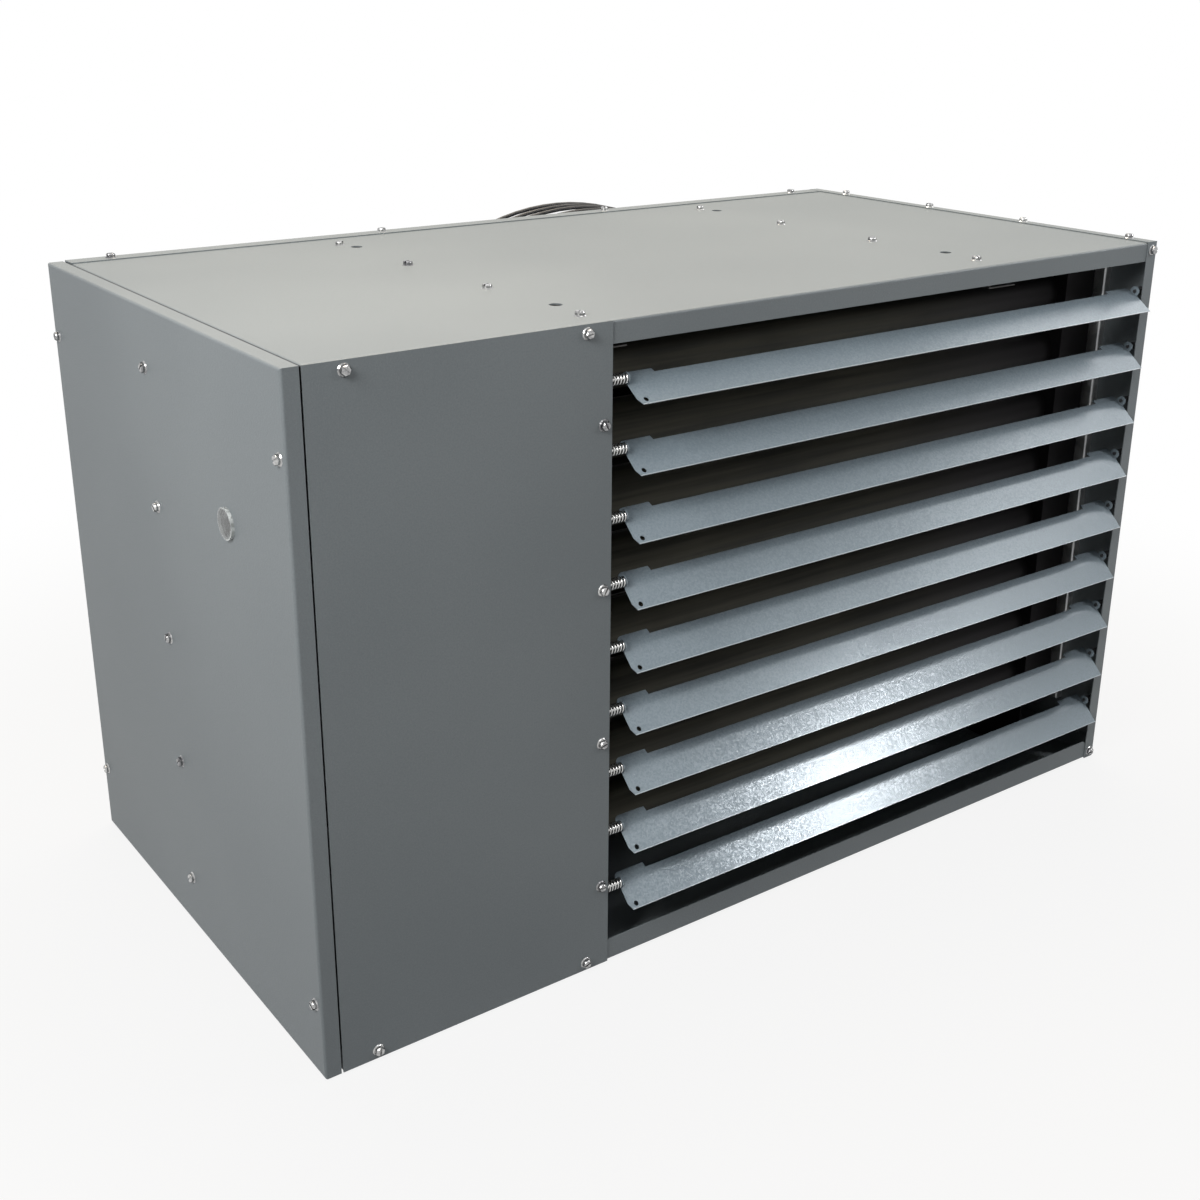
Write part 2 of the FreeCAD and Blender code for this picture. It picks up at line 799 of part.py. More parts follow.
def gas_inlet_coupling():
    """Pipe coupling behind the rear panel: a socket on the pipe and an open threaded mouth."""
    start = gas_centre(rear_face)
    body = prism(start, Y, coupling_radius, burner_sides, coupling_length)
    body = body.cut(rod(start, Y, gas_pipe_radius + fixed_fit, gas_pipe_stand_out + fixed_fit))
    mouth = start + Y * (coupling_length - coupling_thread)
    return body.cut(rod(mouth, Y, coupling_thread_radius, coupling_thread))


def probe(place):
    """Ceramic rod that stands on a collar on the burner box."""
    collar = prism(place, -X, probe_collar_radius, 6, probe_collar)
    return collar.fuse(prism(place, -X, probe_ceramic_radius, burner_sides, probe_ceramic)).removeSplitter()


def burner_box_face():
    return partition_back - burner_box_depth


def igniter():
    return probe(probe_places(burner_box_face())[0])


def flame_sensor():
    return probe(probe_places(burner_box_face())[1])


def limit_switch(place):
    """Snap disc switch: a round cup on a plate with two ears."""
    cup = rod(place, -X, switch_radius, switch_height)
    half = switch_ear_width / 2
    ears = span(place + V(-sheet, -switch_ear, -half), place + V(0, switch_ear, half))
    return cup.fuse(ears).removeSplitter()


def limit_switches():
    between = tube_pitch / 2
    face = burner_box_face()
    return Part.makeCompound([limit_switch(V(face, tube_front_y, tube_heights[row] + between))
                              for row in limit_switch_rows])


def flue_collector():
    """Pan on the partition that gathers the rear tubes and opens into the inducer."""
    low = V(collector_x, tube_rear_y - collector_half_width, tube_bottom - collector_half_width)
    high = V(partition_back, tube_rear_y + collector_half_width, tube_top + tube_radius + sheet * 2)
    box = pan(low, high, X)
    return drilled(box, [V(collector_x, inducer_y, inducer_z)], X, inducer_inlet_radius, sheet)


def scroll_face(x, trim, outlet):
    """Scroll outline of three quarter turns of growing radius and a straight outlet to the rear."""
    first = scroll_radius - trim
    second = first + scroll_step
    third = second + scroll_step

    def at(y, z):
        return V(x, inducer_y + y, inducer_z + z)

    low = scroll_tongue + trim
    half = math.sqrt(0.5)
    start = at(first, 0)
    top = scroll_step + third
    edges = [Part.Arc(start, at(first * half, -first * half), at(0, -first)).toShape(),
             Part.Arc(at(0, -first), at(-second * half, scroll_step - second * half),
                      at(-second, scroll_step)).toShape(),
             Part.Arc(at(-second, scroll_step), at(scroll_step - third * half, scroll_step + third * half),
                      at(scroll_step, top)).toShape(),
             line(at(scroll_step, top), at(outlet, top)),
             line(at(outlet, top), at(outlet, low)),
             line(at(outlet, low), at(first, low)),
             line(at(first, low), start)]
    return Part.Face(Part.Wire(edges))


def inducer_housing():
    outer = scroll_face(scroll_x, 0, scroll_outlet).extrude(X * scroll_width)
    inner = scroll_face(scroll_x + scroll_wall, scroll_wall, scroll_outlet + overrun)
    shell = outer.cut(inner.extrude(X * (scroll_width - scroll_wall * 2)))
    axis = V(scroll_x, inducer_y, inducer_z)
    shell = drilled(shell, [axis + X * (scroll_width - scroll_wall)], X, inducer_inlet_radius, scroll_wall)
    return drilled(shell, [axis], X, wheel_hub_radius, scroll_wall)


def inducer_wheel():
    """Radial wheel: a back plate with blades on a hub and shaft."""
    back = V(scroll_x + (scroll_width - wheel_width) / 2, inducer_y, inducer_z)
    wheel = rod(back, X, wheel_radius, wheel_plate)
    hub = rod(back, X, wheel_hub_radius, wheel_width / 2)
    shaft_start = scroll_x - inducer_motor_length / 2
    shaft = rod(V(shaft_start, inducer_y, inducer_z), X, wheel_shaft_radius, back.x - shaft_start)
    blades = []
    for index in range(wheel_blades):
        inner = wheel_radius - wheel_blade
        blade = span(back + V(0, inner, 0), back + V(wheel_width, wheel_radius, wheel_plate))
        blade.rotate(V(0, inducer_y, inducer_z), X, 360 * index / wheel_blades)
        blades.append(blade)
    return wheel.fuse([hub, shaft] + blades).removeSplitter()


def inducer_motor():
    """Motor can on the scroll, with a neck and a bore for the wheel's shaft."""
    start = V(scroll_x, inducer_y, inducer_z)
    neck = prism(start, -X, inducer_motor_neck_radius, case_sides, inducer_motor_length)
    can = prism(start - X * inducer_motor_neck, -X, inducer_motor_radius, case_sides,
                inducer_motor_length - inducer_motor_neck)
    bore = rod(start, -X, wheel_shaft_radius + running_fit, inducer_motor_length / 2 + fixed_fit)
    return can.fuse(neck).removeSplitter().cut(bore)


def vent_rim(trim):
    """Corners of the vent duct's round end, just inside the rear panel."""
    radius = vent_radius - trim - fixed_fit
    turns = [2 * math.pi * (index + 0.5) / vent_facets for index in range(vent_facets)]
    return [vent_centre(rear_inside) + V(math.cos(turn), 0, math.sin(turn)) * radius for turn in turns]


def rectangle_to_round(trim, start_y):
    """Brake-formed duct of flat facets from the scroll's outlet to the round vent."""
    outlet_top = scroll_step + scroll_radius + scroll_step * 2 - trim
    near = scroll_x + trim
    far = scroll_x + scroll_width - trim
    low = inducer_z + scroll_tongue + trim
    high = inducer_z + outlet_top
    corners = [V(far, start_y, high), V(near, start_y, high), V(near, start_y, low), V(far, start_y, low)]
    rim = vent_rim(trim)
    fan = vent_facets // 4
    facets = [facet(corners), facet(rim)]
    for index in range(vent_facets):
        here = corners[index // fan]
        after = rim[(index + 1) % vent_facets]
        if (index + 1) % fan:
            facets.append(facet([here, rim[index], after]))
            continue
        there = corners[(index // fan + 1) % 4]
        facets.append(facet([here, rim[index], there]))
        facets.append(facet([there, rim[index], after]))
    return Part.Solid(Part.Shell(facets))


def vent_duct():
    """Transition from the inducer to the flue spigot behind the rear panel."""
    start = inducer_y + scroll_outlet
    body = rectangle_to_round(0, start).cut(rectangle_to_round(vent_wall, start))
    neck = facet(vent_rim(0)).extrude(Y * sheet).cut(facet(vent_rim(vent_wall)).extrude(Y * sheet))
    return body.fuse([neck, spigot(vent_centre(rear_face))]).removeSplitter()


def spigot(centre):
    """Round collar on a square flange that is screwed to the rear panel."""
    half = vent_radius + collar_flange
    flange = span(centre - V(half, 0, half), centre + V(half, sheet, half))
    collar = rod(centre, Y, vent_radius, vent_spigot)
    bore = rod(centre, Y, vent_radius - vent_wall - fixed_fit, vent_spigot)
    return flange.fuse(collar).removeSplitter().cut(bore)


def air_intake_collar():
    return spigot(intake_centre(rear_face))


def wiring_bushing():
    """Bushing that lines the cable hole in the rear panel."""
    start = bushing_centre(rear_inside - bushing_length / 2)
    return tube(start, Y, bushing_radius + bushing_wall, bushing_wall, bushing_length)


def divider_back():
    return divider_y + sheet


def ignition_control():
    """Circuit board on standoffs, with a row of relays and a connector strip."""
    low = V(left + board_from_left, divider_back() + board_standoff, cabinet_height * board_rise_share)
    board = span(low, low + board_size)
    edge = relay_size.x / 2
    legs = []
    for x in (edge, board_size.x - edge):
        for z in (edge, board_size.z - edge):
            foot = V(low.x + x - edge / 2, divider_back(), low.z + z - edge / 2)
            legs.append(span(foot, foot + V(edge, board_standoff, edge)))
    relays = []
    for index in range(relay_count):
        corner = low + V(edge + relay_step * index, board_size.y, board_size.z / 2)
        relays.append(span(corner, corner + relay_size))
    strip_low = low + V(edge, board_size.y, edge)
    strip = span(strip_low, strip_low + V(board_size.x - edge * 2, edge, edge))
    return board.fuse(legs + relays + [strip]).removeSplitter()


def transformer():
    """Iron core with a coil through it, on the divider."""
    low = V(left + board_from_left, divider_back(), cabinet_height * transformer_rise_share)
    core = span(low, low + transformer_core)
    inset = V((transformer_core.x - transformer_coil.x) / 2, 0, 0)
    coil = span(low + inset, low + inset + transformer_coil)
    return core.fuse(coil).removeSplitter()


def pressure_switch_centre(y):
    return V(left + pressure_switch_from_left, y, rail_bottom - pressure_switch_drop)


def pressure_switch():
    """Diaphragm case with a nipple for its hose."""
    face = pressure_switch_centre(divider_back())
    case = prism(face, Y, pressure_switch_radius, case_sides, pressure_switch_depth)
    reach = pressure_switch_depth + pressure_switch_neck
    nipple = prism(face, Y, pressure_switch_neck_radius, burner_sides, reach)
    return case.fuse(nipple).removeSplitter()


def pressure_hose():
    """Rubber hose from the pressure switch down to the tap on the inducer."""
    start = pressure_switch_centre(divider_back() + pressure_switch_depth + pressure_switch_neck)
    corner = V(start.x, inducer_y, start.z)
    end = V(scroll_x + scroll_width / 4, inducer_y, start.z)
    tap = V(end.x, inducer_y, inducer_z + scroll_step + scroll_radius + scroll_step * 2)
    bend = hose_bend
    half = bend * (1 - math.sqrt(0.5))
    edges = [line(start, corner - Y * bend),
             Part.Arc(corner - Y * bend, corner + V(half, -half, 0), corner + X * bend).toShape(),
             line(corner + X * bend, end - X * bend),
             Part.Arc(end - X * bend, end + V(-half, 0, -half), end - Z * bend).toShape(),
             line(end - Z * bend, tap)]
    return swept(edges, start, Y, hose_radius, hose_sides)


def fan_venturi():
    """Inlet ring behind the rear panel's opening: a flange and a throat round the fan."""
    wall = orifice_open + sheet
    rim = orifice_open + venturi_flange
    return spin([(0, orifice_open), (0, rim), (sheet, rim), (sheet, wall), (venturi_depth, wall),
                 (venturi_depth, orifice_open)], fan_centre(rear_inside), -Y)


def blade_section(radius, chord, pitch):
    """Corners of a thin cambered blade section at one distance from the axis, in flats along a parabola."""
    turn = math.radians(pitch)
    along = V(math.cos(turn), math.sin(turn), 0)
    across = V(-math.sin(turn), math.cos(turn), 0)
    nose = V(fan_x, fan_y, fan_z + radius) - along * (chord / 2)
    shares = [index / camber_flats for index in range(camber_flats + 1)]
    camber = [nose + along * (chord * share) + across * (chord * blade_camber_share * 4 * share * (1 - share))
              for share in shares]
    return camber + [point + across * fan_blade_sheet for point in reversed(camber)]


def fan_propeller():
    """Twisted blades on a pressed hub, trimmed round at their tips."""
    root = blade_section(fan_hub_radius / 2, root_chord, root_pitch)
    tip = blade_section(fan_radius, tip_chord, tip_pitch)
    blade = stitched(root, tip)
    sweep = rod(V(fan_x, fan_y - tip_chord / 2, fan_z), Y, fan_radius, tip_chord)
    core = rod(V(fan_x, fan_y - tip_chord / 2, fan_z), Y, fan_hub_radius - fan_blade_sheet, tip_chord)
    blade = blade.common(sweep).cut(core)
    blades = []
    for index in range(blade_count):
        copy = blade.copy()
        copy.rotate(fan_centre(fan_y), Y, 360 * index / blade_count)
        blades.append(copy)
    hub = rod(fan_centre(fan_y - fan_hub_length / 2), Y, fan_hub_radius, fan_hub_length)
    bore = rod(fan_centre(fan_y - fan_hub_length / 2), Y, fan_shaft_radius, fan_hub_length)
    return hub.fuse(blades).cut(bore)


def fan_shaft():
    start = fan_centre(fan_y - fan_hub_length / 2)
    return rod(start, Y, fan_shaft_radius, motor_front_y + fan_motor_length / 2 - start.y)


def fan_motor():
    """Closed motor with a tapered front bell and a bore for its shaft."""
    length = fan_motor_length
    bell = fan_motor_bell
    bore = fan_shaft_radius + running_fit
    depth = length / 2 + fixed_fit
    return spin([(0, bore), (0, fan_motor_nose_radius), (bell, fan_motor_radius), (length, fan_motor_radius),
                 (length, 0), (depth, 0), (depth, bore)], fan_centre(motor_front_y), Y)


def motor_mount():
    """Round plate between the motor's back and the guard's spokes."""
    return rod(fan_centre(motor_back_y), Y, mount_radius, mount_plate)


def guard_rim():
    """Flat rim of the fan guard, screwed to the rear panel."""
    return tube(fan_centre(rear_face), Y, guard_radius, guard_rim_width, guard_rim_height)


def spoke_radius():
    return guard_radius - guard_rim_width / 2


def guard_spokes():
    """Bent wires from the rim round the guard's shoulder to its centre."""
    base = rear_face + guard_rim_height
    start = fan_centre(base) + X * spoke_radius()
    corner = V(start.x, guard_back_y, start.z)
    half = guard_bend * (1 - math.sqrt(0.5))
    end = fan_centre(guard_back_y) + X * spoke_inner_radius
    edges = [line(start, corner - Y * guard_bend),
             Part.Arc(corner - Y * guard_bend, corner - V(half, half, 0), corner - X * guard_bend).toShape(),
             line(corner - X * guard_bend, end)]
    spoke = swept(edges, start, Y, guard_wire_radius, wire_sides)
    spokes = []
    for index in range(spoke_count):
        copy = spoke.copy()
        copy.rotate(fan_centre(base), Y, 360 * (index + 0.5) / spoke_count)
        spokes.append(copy)
    return Part.makeCompound(spokes)


def guard_rings():
    """Wire rings welded round the outside of the spokes."""
    side_run = guard_back_y - guard_bend - rear_face
    stack = guard_wire_radius * 2
    rings = [guard_ring(rear_face + side_run * share, spoke_radius() + stack) for share in side_ring_shares]
    rings += [guard_ring(guard_back_y + stack, spoke_radius() * share) for share in back_ring_shares]
    return Part.makeCompound(rings)


def guard_ring(y, radius):
    """Wire ring with a four-sided section, corners to the front, back, inside and outside."""
    wire = guard_wire_radius
    return spin([(-wire, radius), (0, radius + wire), (wire, radius), (0, radius - wire)], fan_centre(y), Y)


def screw(seat, way):
    """Hex washer head standing on a panel."""
    washer = prism(seat, way, screw_washer_radius, washer_sides, screw_washer)
    head = prism(seat + way * screw_washer, way, screw_flats / math.sqrt(3), 6, screw_head - screw_washer)
    return washer.fuse(head)


def spaced(first, last, count):
    return [first + (last - first) * index / (count - 1) for index in range(count)]


def panel_screws():
    """All sheet screws that hold the cabinet together."""
    top = cabinet_height
    made = []
    for x in front_screw_top_places:
        made.append(screw(V(core_left + x, front, top - front_screw_inset), -Y))
        made.append(screw(V(core_left + x, front, front_screw_inset), -Y))
    for z in spaced(front_screw_low, top - front_screw_high, front_screw_rows):
        made.append(screw(V(partition_x - front_screw_inset, front, z), -Y))
    for z in (front_screw_inset, top - front_screw_inset):
        made.append(screw(V(right - front_screw_inset, front, z), -Y))
    for y in (front + access_screw_inset, rear - access_screw_inset):
        for z in (access_screw_margin, top - access_screw_margin):
            made.append(screw(V(left, y, z), -X))
    for z in spaced(access_middle_margin, top - access_middle_margin, access_middle_rows):
        made.append(screw(V(left, divider_y + divider_flange / 2, z), -X))
    rows = spaced(front + top_screw_front, rear - top_screw_rear, top_screw_rows)
    for y in rows:
        for x in hanger_x:
            made.append(screw(V(x - top_screw_offset, y, top), Z))
        made.append(screw(V(right - side_flange / 2, y, top + sheet), Z))
    for x in spaced(left + rear_screw_margin, right - rear_screw_margin, rear_screw_rows):
        made.append(screw(V(x, rear - rear_flange / 2, top + sheet), Z))
    return Part.makeCompound(made)


os.makedirs("parts", exist_ok=True)
pieces = {
    "left_access_panel": left_access_panel(),
    "sight_glass": sight_glass(),
    "front_control_panel": front_control_panel(),
    "top_panel": top_panel(),
    "bottom_panel": bottom_panel(),
    "right_side_panel": right_side_panel(),
    "rear_panel": rear_panel(),
    "control_partition": control_partition(),
    "compartment_divider": compartment_divider(),
    "corner_post": corner_post(),
    "hanger_rails": hanger_rails(),
    "left_pivot_pins": left_pivot_pins(),
    "right_pivot_pins": right_pivot_pins(),
    "louvre_springs": louvre_springs(),
    "burner_tubes": tube_row(tube_front_y),
    "flue_tubes": tube_row(tube_rear_y),
    "tube_sheet": tube_sheet(),
    "return_header": return_header(),
    "right_air_liner": right_air_liner(),
    "burner_box": burner_box(),
    "burners": burners(),
    "gas_manifold": gas_manifold(),
    "gas_orifices": gas_orifices(),
    "gas_valve": gas_valve(),
    "gas_valve_knob": gas_valve_knob(),
    "gas_inlet_pipe": gas_inlet_pipe(),
    "gas_inlet_coupling": gas_inlet_coupling(),
    "igniter": igniter(),
    "flame_sensor": flame_sensor(),
    "limit_switches": limit_switches(),
    "flue_collector": flue_collector(),
    "inducer_housing": inducer_housing(),
    "inducer_wheel": inducer_wheel(),
    "inducer_motor": inducer_motor(),
    "vent_duct": vent_duct(),
    "air_intake_collar": air_intake_collar(),
    "wiring_bushing": wiring_bushing(),
    "ignition_control": ignition_control(),
    "transformer": transformer(),
    "pressure_switch": pressure_switch(),
    "pressure_hose": pressure_hose(),
    "fan_venturi": fan_venturi(),
    "fan_propeller": fan_propeller(),
    "fan_shaft": fan_shaft(),
    "fan_motor": fan_motor(),
    "motor_mount": motor_mount(),
    "guard_rim": guard_rim(),
    "guard_spokes": guard_spokes(),
    "guard_rings": guard_rings(),
    "panel_screws": panel_screws(),
}
for number, (tilt, height) in enumerate(zip(rest_tilts, pivot_heights()), start=1):
    pieces["louvre_%d" % number] = louvre(tilt, height)
for name, shape in pieces.items():
    shape.exportStep("parts/%s.step" % name)
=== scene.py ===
import json
import math

import bpy
from mathutils import Matrix, Vector

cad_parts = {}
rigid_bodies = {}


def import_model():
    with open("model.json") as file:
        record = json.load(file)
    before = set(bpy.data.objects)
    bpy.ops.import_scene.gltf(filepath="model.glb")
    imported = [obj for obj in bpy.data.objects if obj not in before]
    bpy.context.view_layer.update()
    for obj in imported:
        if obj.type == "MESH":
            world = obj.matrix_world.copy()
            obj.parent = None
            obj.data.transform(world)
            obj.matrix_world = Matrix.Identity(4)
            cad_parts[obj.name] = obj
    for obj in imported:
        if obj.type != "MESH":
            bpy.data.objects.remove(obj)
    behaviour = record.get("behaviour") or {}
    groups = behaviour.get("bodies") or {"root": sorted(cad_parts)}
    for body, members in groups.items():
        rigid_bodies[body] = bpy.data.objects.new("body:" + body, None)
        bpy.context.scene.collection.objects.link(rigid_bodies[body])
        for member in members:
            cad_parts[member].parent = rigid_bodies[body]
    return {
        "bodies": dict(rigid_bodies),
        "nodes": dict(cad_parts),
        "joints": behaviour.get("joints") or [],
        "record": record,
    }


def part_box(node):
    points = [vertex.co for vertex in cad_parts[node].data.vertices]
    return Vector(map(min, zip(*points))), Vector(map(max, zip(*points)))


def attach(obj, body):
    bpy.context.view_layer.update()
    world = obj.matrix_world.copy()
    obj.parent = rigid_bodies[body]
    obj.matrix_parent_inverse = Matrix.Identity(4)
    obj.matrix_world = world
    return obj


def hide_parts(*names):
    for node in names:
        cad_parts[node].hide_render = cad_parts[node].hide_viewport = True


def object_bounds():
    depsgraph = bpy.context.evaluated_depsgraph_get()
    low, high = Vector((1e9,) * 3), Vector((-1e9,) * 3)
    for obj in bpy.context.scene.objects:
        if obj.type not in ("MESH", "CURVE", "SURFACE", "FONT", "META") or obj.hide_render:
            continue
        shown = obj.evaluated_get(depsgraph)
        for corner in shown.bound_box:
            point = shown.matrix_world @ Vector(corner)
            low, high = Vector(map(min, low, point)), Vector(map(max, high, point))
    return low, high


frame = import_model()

solids_low, solids_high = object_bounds()


# Cabinet panels: folded sheet steel with a satin, finely textured blue-grey powder coat.
# The front panel and the two side pans close over the top and bottom pans and are held by sheet screws.
class Socket:
    """A node socket that takes part in sums, and makes the nodes that follow it."""

    def __init__(self, tree, socket=None):
        self.tree = tree
        self.socket = socket

    def make(self, kind, settings=None, values=None, output=0):
        node = self.tree.nodes.new(kind)
        for name, value in (settings or {}).items():
            setattr(node, name, value)
        for name, value in (values or {}).items():
            for part in value if isinstance(value, list) else [value]:
                if isinstance(part, Socket):
                    self.tree.links.new(part.socket, node.inputs[name])
                else:
                    node.inputs[name].default_value = part
        return Socket(self.tree, node.outputs[output])

    def math(self, operation, first, second):
        return self.make("ShaderNodeMath", {"operation": operation}, {0: first, 1: second})

    def __add__(self, other):
        return self.math("ADD", self, other)

    def __radd__(self, other):
        return self.math("ADD", other, self)

    def __sub__(self, other):
        return self.math("SUBTRACT", self, other)

    def __rsub__(self, other):
        return self.math("SUBTRACT", other, self)

    def __mul__(self, other):
        return self.math("MULTIPLY", self, other)

    def __rmul__(self, other):
        return self.math("MULTIPLY", other, self)

    def noise(self, scale, detail=2.0):
        """Noise over the piece, with scale in grains a metre."""
        return self.make("ShaderNodeTexNoise", {}, {"Vector": self, "Scale": scale, "Detail": detail})

    def step(self, low, high):
        """0 below low, 1 above high and smooth between them."""
        return self.make("ShaderNodeMapRange", {"interpolation_type": "SMOOTHSTEP"},
                         {"Value": self, "From Min": low, "From Max": high})

    def blend(self, first, second):
        """Colour that goes from first to second as this value goes from 0 to 1."""
        return self.make("ShaderNodeMix", {"data_type": "RGBA"}, {0: self, 6: first, 7: second}, 2)


def finish(name, constants):
    """New material: its shader's plain values are set, and the place on the piece is handed back."""
    material = bpy.data.materials.new(name)
    material.use_nodes = True
    shader = material.node_tree.nodes["Principled BSDF"]
    for socket, value in constants.items():
        shader.inputs[socket].default_value = value
    place = Socket(material.node_tree).make("ShaderNodeTexCoord", output=3)
    return material, shader, place


def feed(shader, **links):
    """Links colour, rough, alpha, facing, or relief, a pair of a height and its depth in metres."""
    names = {"colour": "Base Color", "rough": "Roughness", "alpha": "Alpha", "facing": "Normal"}
    for name, value in links.items():
        if name == "relief":
            height, depth = value
            value = height.make("ShaderNodeBump", {}, {"Height": height, "Strength": 1.0, "Distance": depth})
            value.tree.links.new(value.socket, shader.inputs["Normal"])
        else:
            value.tree.links.new(value.socket, shader.inputs[names[name]])


def coat(material, *nodes):
    """Gives nodes of the frame one material."""
    for node in nodes:
        slots = frame["nodes"][node].data.materials
        slots.clear()
        slots.append(material)


def panel_paint(name, shaded_side=None):
    """The coat, with painted shade, near black, on a sheet's left side at x = shaded_side, where that side
    lies deep in a seam.
    """
    material, shader, place = finish(name, {"Specular IOR Level": 0.36})
    cloud = place.noise(2.3)
    grain = place.noise(640.0, 3.0)
    speck = place.noise(1700.0, 1.0)
    tone = cloud * 0.5 + grain * 0.3 + speck * 0.2
    shade = tone.step(0.35, 0.65).blend((0.112, 0.128, 0.137, 1), (0.144, 0.162, 0.171, 1))
    if shaded_side is not None:
        # Painted shade: the side face that lies deep in the seam is painted near black.
        sideways = place.make("ShaderNodeSeparateXYZ", {}, {0: place})
        shade_reach = 0.0004
        open_reach = 0.0010
        open_face = sideways.step(shaded_side + shade_reach, shaded_side + open_reach)
        shade = open_face.blend((0.012, 0.013, 0.014, 1), shade)
    feed(shader, colour=shade, rough=0.40 + grain * 0.16 + cloud * 0.06,
         relief=(grain * 0.7 + speck * 0.3, 0.00030))
    return material


coat(panel_paint("panel_paint"), "left_access_panel", "front_control_panel", "bottom_panel",
     "right_side_panel", "rear_panel")
coat(panel_paint("top_paint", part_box("top_panel")[0].x), "top_panel")


# Inner sheet metal: partition, divider, corner post and air liner of bare galvanised steel.
# It is folded, spot welded and screwed inside the panels; the zinc shows its crystal pattern.
def galvanised(name, dark, light, rough):
    material, shader, place = finish(name, {"Metallic": 0.85})
    flake = place.make("ShaderNodeTexVoronoi", {}, {"Vector": place, "Scale": 90.0, "Randomness": 1.0}, 1)
    tone = flake.make("ShaderNodeSeparateColor", {}, {0: flake})
    cloud = place.noise(7.0)
    feed(shader, colour=(tone * 0.6 + cloud * 0.4).blend(dark, light),
         rough=rough + tone * 0.14 + cloud * 0.08)
    return material


zinc_sheet = galvanised("zinc_sheet", (0.34, 0.35, 0.36, 1), (0.60, 0.61, 0.61, 1), 0.34)
coat(zinc_sheet, "control_partition", "compartment_divider", "corner_post", "right_air_liner")


# Heat exchanger: two rows of aluminised steel tubes between the partition and a header at the right.
# Flue heat has tinted them olive brown, and they turn darker, near black, towards the header.
def heat_tinted():
    material, shader, place = finish("heat_tinted", {"Metallic": 0.75})
    along = place.make("ShaderNodeSeparateXYZ", {}, {0: place})
    cloud = place.noise(5.0, 4.0)
    drawn = place.make("ShaderNodeMapping", {}, {"Vector": place, "Scale": (2.0, 60.0, 60.0)})
    streak = drawn.noise(3.0, 3.0)
    tone = cloud * 0.5 + streak * 0.5
    bare = tone.step(0.3, 0.7).blend((0.008, 0.008, 0.006, 1), (0.034, 0.032, 0.023, 1))
    # The tubes turn darker, near black, towards the header.
    near_header = (along + cloud * 0.16).step(0.22, 0.50)
    feed(shader, colour=near_header.blend(bare, (0.010, 0.009, 0.010, 1)), rough=0.38 + streak * 0.22)
    return material


coat(heat_tinted(), "burner_tubes", "flue_tubes", "tube_sheet", "return_header", "flue_collector", "burners")


# Gas train: a black iron manifold and inlet pipe, brass spuds, a cast valve with its knob, and the burner
# box with its ceramic igniter and flame sensor. The spuds are screwed into the manifold, and the pipe leaves
# through the rear panel to a coupling. The hanger channels under the top are black too, as painted shade that
# keeps the hanger holes dark.
def grained(name, dark, light, grain, rough, spread, constants, depth=0.00015):
    """Plain finish with a cloud of two close tones and a fine relief of the same grain."""
    material, shader, place = finish(name, constants)
    cloud = place.noise(grain / 12.0)
    fine = place.noise(grain, 3.0)
    feed(shader, colour=(cloud * 0.6 + fine * 0.4).step(0.3, 0.7).blend(dark, light),
         rough=rough + fine * spread, relief=(fine, depth))
    return material


mill_scale = grained("mill_scale", (0.012, 0.012, 0.013, 1), (0.040, 0.038, 0.036, 1), 260.0, 0.42, 0.25,
                     {"Metallic": 0.4})
# The hanger rails are coated black as painted shade, so the hanger holes above them look dark.
coat(mill_scale, "gas_manifold", "gas_inlet_pipe", "gas_inlet_coupling", "hanger_rails")
turned_brass = grained("turned_brass", (0.46, 0.30, 0.10, 1), (0.62, 0.44, 0.18, 1), 400.0, 0.22, 0.16,
                       {"Metallic": 1.0})
coat(turned_brass, "gas_orifices")
cast_aluminium = grained("cast_aluminium", (0.36, 0.36, 0.36, 1), (0.52, 0.52, 0.52, 1), 520.0, 0.42, 0.22,
                         {"Metallic": 0.9}, 0.0004)
coat(cast_aluminium, "gas_valve")
black_plastic = grained("black_plastic", (0.010, 0.010, 0.011, 1), (0.022, 0.022, 0.024, 1), 700.0, 0.42, 0.2,
                        {})
coat(black_plastic, "gas_valve_knob", "wiring_bushing", "pressure_switch")
glazed_ceramic = grained("glazed_ceramic", (0.66, 0.63, 0.55, 1), (0.78, 0.76, 0.69, 1), 300.0, 0.16, 0.12,
                         {"Coat Weight": 0.3})
coat(glazed_ceramic, "igniter", "flame_sensor")
coat(zinc_sheet, "burner_box")


# Flue side: a pressed inducer scroll with its wheel and motor, and the vent and air collars at the rear.
# The collars are spot welded to flanges that are screwed on; the vent duct joins the scroll to its collar.
coat(zinc_sheet, "inducer_housing", "inducer_wheel", "vent_duct", "air_intake_collar")
motor_black = grained("motor_black", (0.014, 0.014, 0.015, 1), (0.030, 0.030, 0.032, 1), 420.0, 0.34, 0.18,
                      {"Coat Weight": 0.2})
coat(motor_black, "inducer_motor")


# Controls on the divider: a circuit board on standoffs, a transformer, a pressure switch and its rubber hose.
# They are screwed to the divider inside the closed compartment.
board_green = grained("board_green", (0.010, 0.055, 0.026, 1), (0.022, 0.100, 0.045, 1), 300.0, 0.36, 0.2, {})
coat(board_green, "ignition_control")
core_iron = grained("core_iron", (0.040, 0.033, 0.028, 1), (0.085, 0.070, 0.058, 1), 350.0, 0.4, 0.2,
                    {"Metallic": 0.6})
coat(core_iron, "transformer")
hose_rubber = grained("hose_rubber", (0.008, 0.008, 0.008, 1), (0.018, 0.018, 0.018, 1), 500.0, 0.6, 0.2, {})
coat(hose_rubber, "pressure_hose")
zinc_bright = grained("zinc_bright", (0.50, 0.50, 0.49, 1), (0.66, 0.66, 0.65, 1), 300.0, 0.12, 0.12,
                      {"Metallic": 1.0}, 0.00003)
coat(zinc_bright, "limit_switches")


